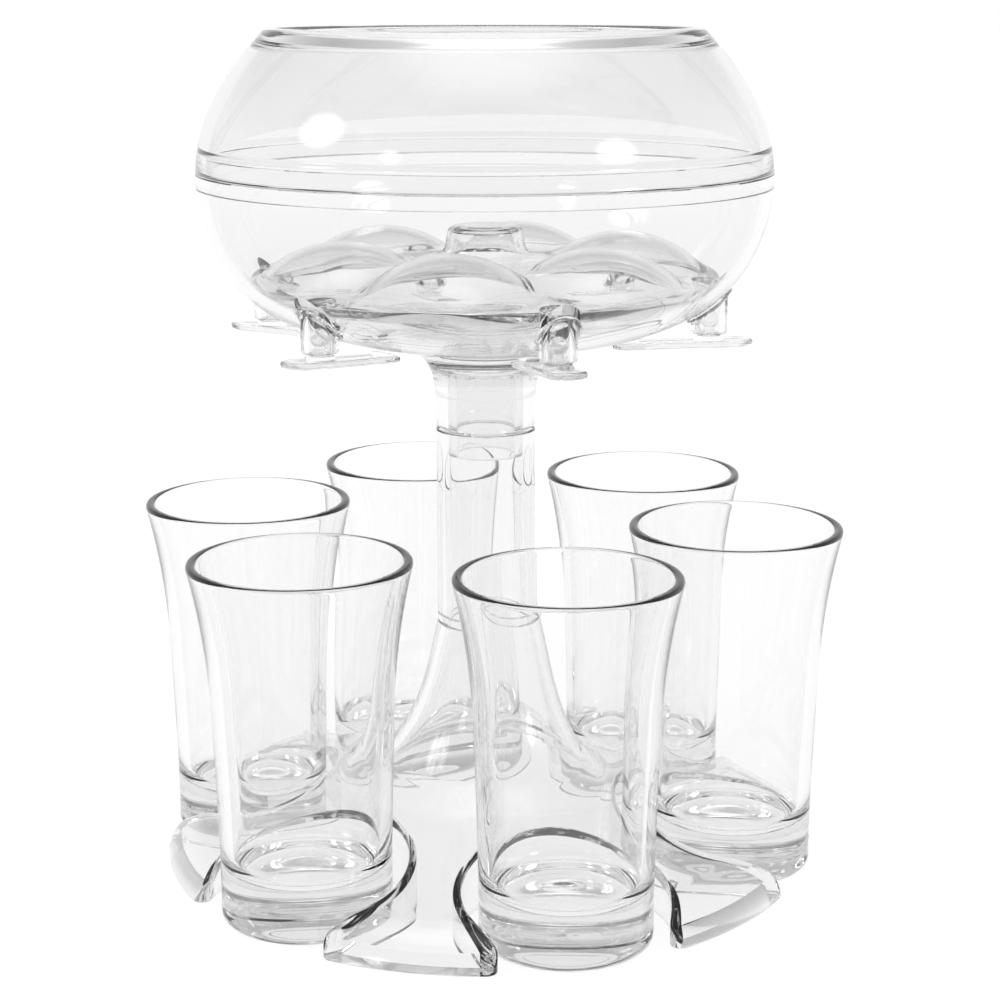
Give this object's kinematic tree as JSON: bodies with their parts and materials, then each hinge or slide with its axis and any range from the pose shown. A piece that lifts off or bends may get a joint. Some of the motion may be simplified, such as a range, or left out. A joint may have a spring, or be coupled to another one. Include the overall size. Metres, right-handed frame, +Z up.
{
  "type": "party shot dispenser",
  "caption": "Clear table-top shot dispenser: an open round bowl on a column feeds stoppered spouts, each over a shot glass standing in a recess of a flower-shaped base.",
  "frame": {"origin": "centre of the bounding box on the table plane, on the axis of the column", "axes": "+Z up along the column, -Y towards the glass of node glass_1, +X to its right seen from the front"},
  "size_m": [0.141, 0.1532, 0.1769],
  "materials": {
    "clear_plastic": "clear colourless moulded acrylic, polished",
    "silicone": "milky translucent silicone rubber, satin",
    "clear_glass": "clear colourless pressed glass, fire polished"
  },
  "bodies": {
    "stand": {"base": "clear_plastic", "column": "clear_plastic"},
    "pivot": {"connector_sleeve": "clear_plastic"},
    "bowl": {"bowl_lower": "clear_plastic", "bowl_upper": "clear_plastic", "flow_divider": "clear_plastic", "spout_1": "clear_plastic", "spout_2": "clear_plastic", "spout_3": "clear_plastic", "spout_4": "clear_plastic", "spout_5": "clear_plastic", "spout_6": "clear_plastic"},
    "stopper_1": {"stopper_1": "silicone"},
    "stopper_2": {"stopper_2": "silicone"},
    "stopper_3": {"stopper_3": "silicone"},
    "stopper_4": {"stopper_4": "silicone"},
    "stopper_5": {"stopper_5": "silicone"},
    "stopper_6": {"stopper_6": "silicone"},
    "glass_1": {"glass_1": "clear_glass"},
    "glass_2": {"glass_2": "clear_glass"},
    "glass_3": {"glass_3": "clear_glass"},
    "glass_4": {"glass_4": "clear_glass"},
    "glass_5": {"glass_5": "clear_glass"},
    "glass_6": {"glass_6": "clear_glass"}
  },
  "joints": [
    {"name": "bowl_lift", "type": "slide", "parent": "stand", "child": "pivot", "axis": [0, 0, 1], "range_m": [0, 0.03]},
    {"name": "bowl_turn", "type": "hinge", "parent": "pivot", "child": "bowl", "pos_m": [0, 0, 0.1], "axis": [0, 0, 1], "continuous": true},
    {"name": "stopper_1_pull", "type": "slide", "parent": "bowl", "child": "stopper_1", "axis": [0, 0, -1], "range_m": [0, 0.01]},
    {"name": "stopper_2_pull", "type": "slide", "parent": "bowl", "child": "stopper_2", "axis": [0, 0, -1], "range_m": [0, 0.01]},
    {"name": "stopper_3_pull", "type": "slide", "parent": "bowl", "child": "stopper_3", "axis": [0, 0, -1], "range_m": [0, 0.01]},
    {"name": "stopper_4_pull", "type": "slide", "parent": "bowl", "child": "stopper_4", "axis": [0, 0, -1], "range_m": [0, 0.01]},
    {"name": "stopper_5_pull", "type": "slide", "parent": "bowl", "child": "stopper_5", "axis": [0, 0, -1], "range_m": [0, 0.01]},
    {"name": "stopper_6_pull", "type": "slide", "parent": "bowl", "child": "stopper_6", "axis": [0, 0, -1], "range_m": [0, 0.01]},
    {"name": "glass_1_lift", "type": "slide", "parent": "stand", "child": "glass_1", "axis": [0, 0, 1], "range_m": [0, 0.022]},
    {"name": "glass_2_lift", "type": "slide", "parent": "stand", "child": "glass_2", "axis": [0, 0, 1], "range_m": [0, 0.022]},
    {"name": "glass_3_lift", "type": "slide", "parent": "stand", "child": "glass_3", "axis": [0, 0, 1], "range_m": [0, 0.022]},
    {"name": "glass_4_lift", "type": "slide", "parent": "stand", "child": "glass_4", "axis": [0, 0, 1], "range_m": [0, 0.022]},
    {"name": "glass_5_lift", "type": "slide", "parent": "stand", "child": "glass_5", "axis": [0, 0, 1], "range_m": [0, 0.022]},
    {"name": "glass_6_lift", "type": "slide", "parent": "stand", "child": "glass_6", "axis": [0, 0, 1], "range_m": [0, 0.022]}
  ]
}
